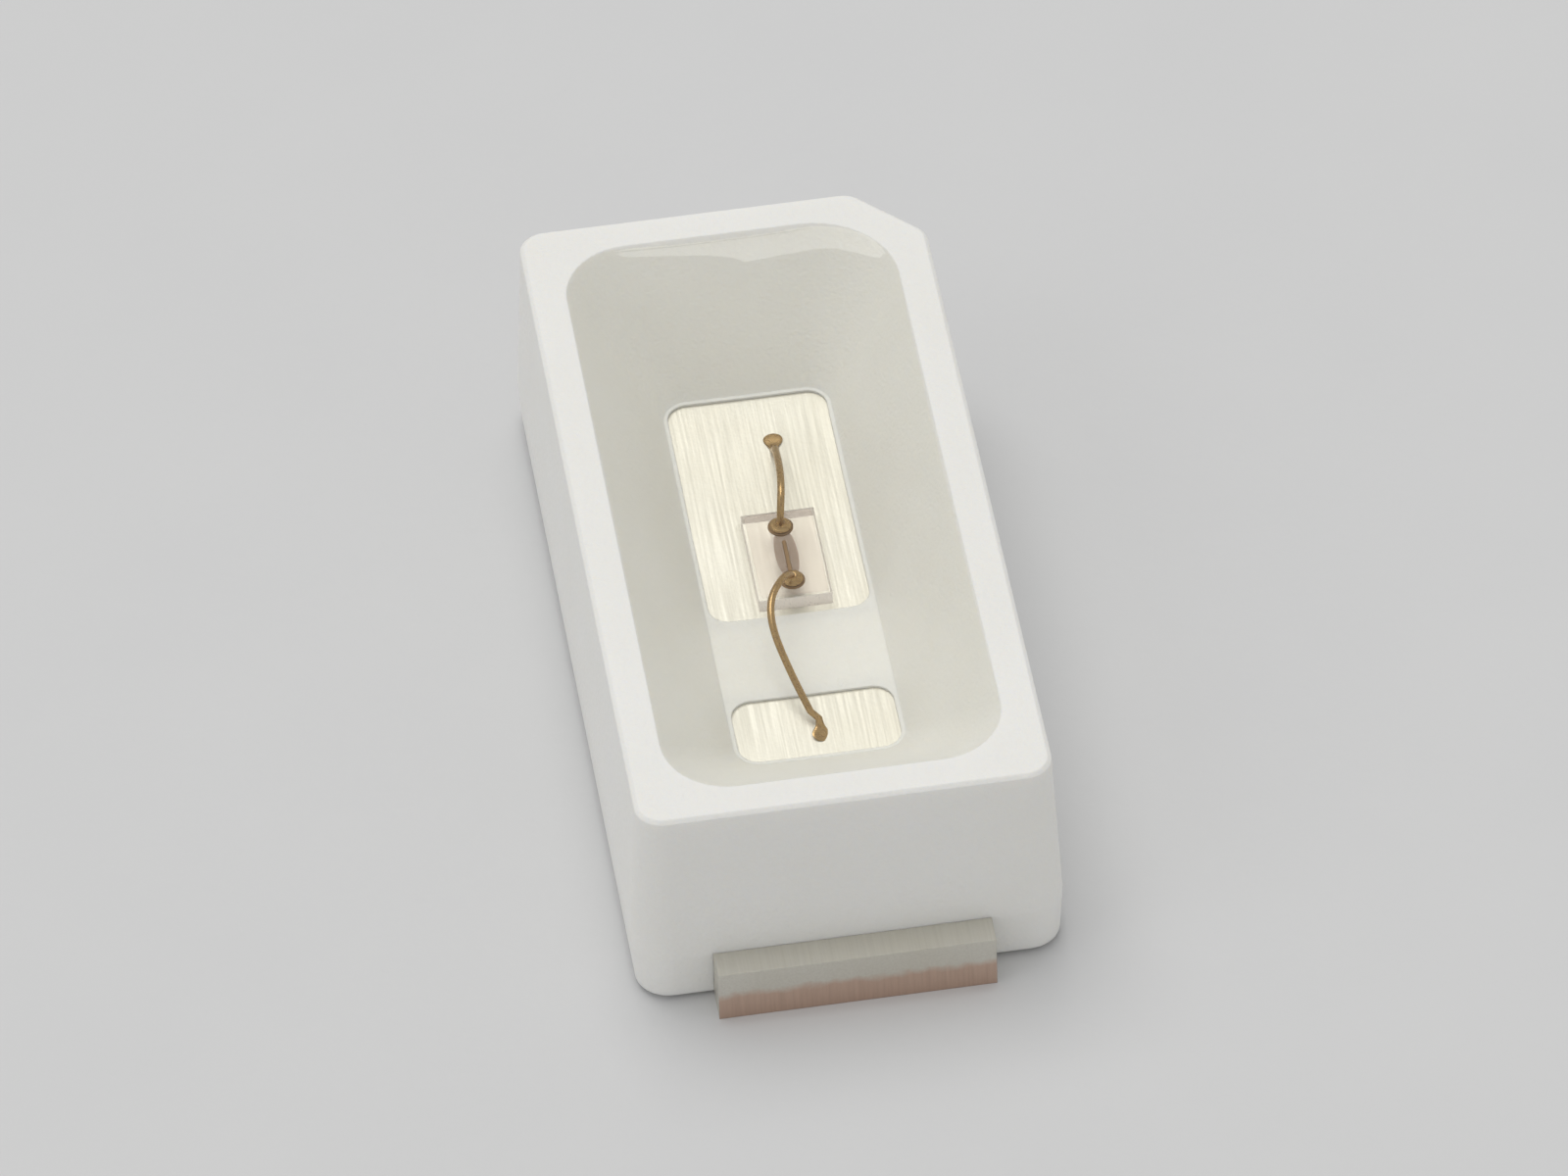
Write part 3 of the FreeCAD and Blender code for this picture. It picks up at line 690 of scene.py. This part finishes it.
def make_layers(material):
    """The grown layers as one open skin: their edge, their top and the pit round the n contact."""
    half = (LAYERS_HIGH - LAYERS_LOW).xy / 2
    top = LAYERS_HIGH.z
    step = (LAYERS_LOW.z + top) / 2
    brow_half = grown(half, -LEDGE_WIDTH)
    brow = die_ring(brow_half, DIE_MIDDLE, BROW_CORNER, top)
    rings = [
        die_ring(half, DIE_MIDDLE, LEDGE_CORNER, LAYERS_LOW.z + LAYERS_SINK),
        die_ring(grown(half, -LEDGE_BEVEL), DIE_MIDDLE, LEDGE_CORNER, step),
        die_ring(brow_half, DIE_MIDDLE, BROW_CORNER, step),
        brow,
        circle_facing(brow, N_CONTACT_MIDDLE, CONTACT_RADIUS + PIT_BRINK, top),
        circle_facing(brow, N_CONTACT_MIDDLE, CONTACT_RADIUS + PIT_FOOT, step),
        circle_facing(brow, N_CONTACT_MIDDLE, CONTACT_RADIUS + SKIN_END, step),
    ]
    skin = stacked(rings, close=False)
    stand_in("die_layers", skin, material, 30, "die_epitaxy")


def contact_disc(middle, low, high):
    """A round contact with a soft edge, sunk a hair into the layer under it."""
    rise = high - low
    profile = [
        (CONTACT_RADIUS, -SINK),
        (CONTACT_RADIUS, rise * 0.55),
        (CONTACT_RADIUS - 0.8 * MICRON, rise * 0.85),
        (CONTACT_RADIUS - 2.0 * MICRON, rise),
        (CONTACT_RADIUS * 0.5, rise),
    ]
    return lathe(profile, Vector((middle.x, middle.y, low)), sides=64)


def finger_form():
    """The p contact's finger, a low bar with rounded ends."""
    start = P_CONTACT_MIDDLE.y + CONTACT_RADIUS * 0.8
    end = P_CONTACT_HIGH.y
    half = Vector((FINGER_HALF_WIDTH, (end - start) / 2))
    middle = Vector((P_CONTACT_MIDDLE.x, (end + start) / 2))
    top = P_CONTACT_HIGH.z - FINGER_DROP
    rings = [
        die_ring(half, middle, FINGER_CORNER, P_CONTACT_LOW.z - SINK),
        die_ring(half, middle, FINGER_CORNER, top - FINGER_BEVEL_HEIGHT),
        die_ring(grown(half, -FINGER_BEVEL), middle, FINGER_TOP_CORNER, top),
    ]
    return stacked(rings)


def make_contacts(material):
    """The two round contacts, one with the finger that leads towards the other."""
    n_disc = contact_disc(N_CONTACT_MIDDLE, N_CONTACT_LOW.z, N_CONTACT_HIGH.z)
    stand_in("n_contact", n_disc, material, 50, "n_electrode")
    p_disc = contact_disc(P_CONTACT_MIDDLE, P_CONTACT_LOW.z, P_CONTACT_HIGH.z)
    p_form = joined(p_disc, finger_form())
    stand_in("p_contact", p_form, material, 50, "p_electrode")


def make_bond_film(material):
    """The resin round the die's foot: an open skin that thins out over the lead."""
    width = (ATTACH_HIGH.x - ATTACH_LOW.x) / 2 - DIE_HALF.x
    height = ATTACH_HIGH.z - ATTACH_LOW.z
    rings = []
    for out, up in FILLET:
        margin = width * out
        corner = max(margin, DIE_CORNER)
        half = grown(DIE_HALF, margin)
        rings.append(die_ring(half, DIE_MIDDLE, corner, LEAD_TOP + height * up))
    film = stacked(rings, close=False)
    stand_in("bond_film", film, material, 60, "die_attach")


# Bond wires


WIRE_RADIUS = 12.5 * MICRON
WIRE_SIDES = 20
BALL_HEIGHT = 35 * MICRON
LOOP_HEIGHT = 130 * MICRON
# Half the ball's width and its height over the contact, in microns, from its foot to the wire
BALL_PROFILE = [
    (28.0, -0.4),
    (32.5, 0.6),
    (35.8, 3.2),
    (37.0, 6.8),
    (36.2, 10.4),
    (33.4, 13.0),
    (29.0, 14.6),
    (24.5, 16.0),
    (20.5, 18.6),
    (17.0, 22.4),
    (14.6, 27.0),
    (13.2, 32.0),
    (12.6, 37.0),
]

# Where each wire starts on its contact and lands on its lead, and how far its loop sways
N_FOOT = Vector((DIE_MIDDLE.x, N_CONTACT_MIDDLE.y, N_CONTACT_HIGH.z))
P_FOOT = Vector((DIE_MIDDLE.x, P_CONTACT_MIDDLE.y, P_CONTACT_HIGH.z))
LARGE_STITCH = Vector((0.065 * MM, 0.62 * MM, LEAD_TOP))
SMALL_STITCH = Vector((0.012 * MM, -0.725 * MM, LEAD_TOP))
LARGE_SWAY = 0.012 * MM
SMALL_SWAY = -0.105 * MM


def wire_route(foot, stitch, sway):
    """The bends of a wire: up from its ball, over a loop that sways, and down to its stitch."""
    rise = foot.z - stitch.z
    span = Vector((stitch.x - foot.x, stitch.y - foot.y, 0))
    base = Vector((foot.x, foot.y, stitch.z))
    # Shares of the span, heights over the lead, and shares of the sway
    bends = [
        (0.00, rise + BALL_HEIGHT * 0.7, 0.0),
        (0.02, rise + LOOP_HEIGHT * 0.85, 0.20),
        (0.31, rise + LOOP_HEIGHT * 1.08, 1.15),
        (0.74, (rise + LOOP_HEIGHT) * 0.50, 0.60),
        (1.00, WIRE_RADIUS * 0.5, 0.0),
    ]
    return [
        base + span * share + Vector((sway * lean, 0, height)) for share, height, lean in bends
    ]


def swept(line, widths, heights):
    """A tube along a line, with its own half width and half height at each point."""
    rings = []
    up = Vector((0, 0, 1))
    across = (line[1] - line[0]).normalized().cross(up).normalized()
    for index, p in enumerate(line):
        before = line[max(index - 1, 0)]
        after = line[min(index + 1, len(line) - 1)]
        ahead = (after - before).normalized()
        across = (across - ahead * across.dot(ahead)).normalized()
        over = across.cross(ahead).normalized()
        ring = []
        for side in range(WIRE_SIDES):
            angle = math.tau * side / WIRE_SIDES
            out = across * math.cos(angle) * widths[index] + over * math.sin(angle) * heights[index]
            ring.append(p + out)
        rings.append(ring)
    return stacked(rings)


# The stitch's sections, in microns: how far past the wire's landing each lies, its half width,
# its half height, and the height of its middle over the lead
STITCH_SECTIONS = [
    (-50.0, 12.6, 12.4, 24.0),
    (-40.0, 13.0, 11.4, 16.6),
    (-31.0, 14.8, 9.2, 11.0),
    (-22.0, 18.6, 7.0, 7.4),
    (-13.0, 24.0, 5.4, 5.4),
    (-4.0, 29.5, 4.6, 4.4),
    (6.0, 33.0, 4.2, 3.8),
    (16.0, 33.5, 3.6, 3.2),
    (25.0, 30.5, 2.8, 2.4),
    (33.0, 24.5, 2.0, 1.6),
    (39.0, 15.5, 1.4, 1.0),
    (42.0, 6.0, 0.8, 0.5),
]


def make_wire(name, node, foot, stitch, sway, material):
    """A gold wire with its ball, its loop and the flattened stitch on the lead."""
    route = smooth_line(wire_route(foot, stitch, sway), steps=14)
    ahead = Vector((stitch.x - foot.x, stitch.y - foot.y, 0)).normalized()
    first = Vector((stitch.x, stitch.y, 0)) + ahead * STITCH_SECTIONS[0][0] * MICRON
    line = [p for p in route if (p - first).dot(ahead) < 0]
    widths = [WIRE_RADIUS] * len(line)
    heights = [WIRE_RADIUS] * len(line)
    for along, half_width, half_height, height in STITCH_SECTIONS:
        p = stitch + ahead * along * MICRON
        line.append(Vector((p.x, p.y, LEAD_TOP + height * MICRON)))
        widths.append(half_width * MICRON)
        heights.append(half_height * MICRON)
    wire = swept(line, widths, heights)
    profile = [(radius * MICRON, height * MICRON) for radius, height in BALL_PROFILE]
    ball = lathe(profile, foot, sides=48)
    stand_in(name, joined(wire, ball), material, 60, node)


# Putting it together


def dress(node, material):
    """Give a node of the frame its finish."""
    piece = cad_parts[node]
    piece.data.materials.clear()
    piece.data.materials.append(material)


bpy.context.scene.view_settings.view_transform = "Standard"

make_camera()
make_world(colour=(1.0, 0.998, 0.99), strength=0.58)
make_area_light(
    "key",
    place=(-30 * MM, 86 * MM, 243 * MM),
    side=165 * MM,
    power=0.23,
    colour=(1.0, 0.995, 0.98),
)
make_area_light(
    "fill",
    place=(-180 * MM, -60 * MM, 150 * MM),
    side=120 * MM,
    power=0.03,
    colour=(0.97, 0.98, 1.0),
)
make_floor(floor_finish())

silver = silver_plate()
gold = gold_wire()
dress("housing", white_plastic())
dress("lead_large", silver)
dress("lead_small", silver)
make_silicone(clear_silicone())
make_die(sapphire())
make_layers(semiconductor())
make_contacts(contact_metal())
make_bond_film(die_bond_resin())
make_wire("wire_to_large_lead", "bond_wire_large", N_FOOT, LARGE_STITCH, LARGE_SWAY, gold)
make_wire("wire_to_small_lead", "bond_wire_small", P_FOOT, SMALL_STITCH, SMALL_SWAY, gold)
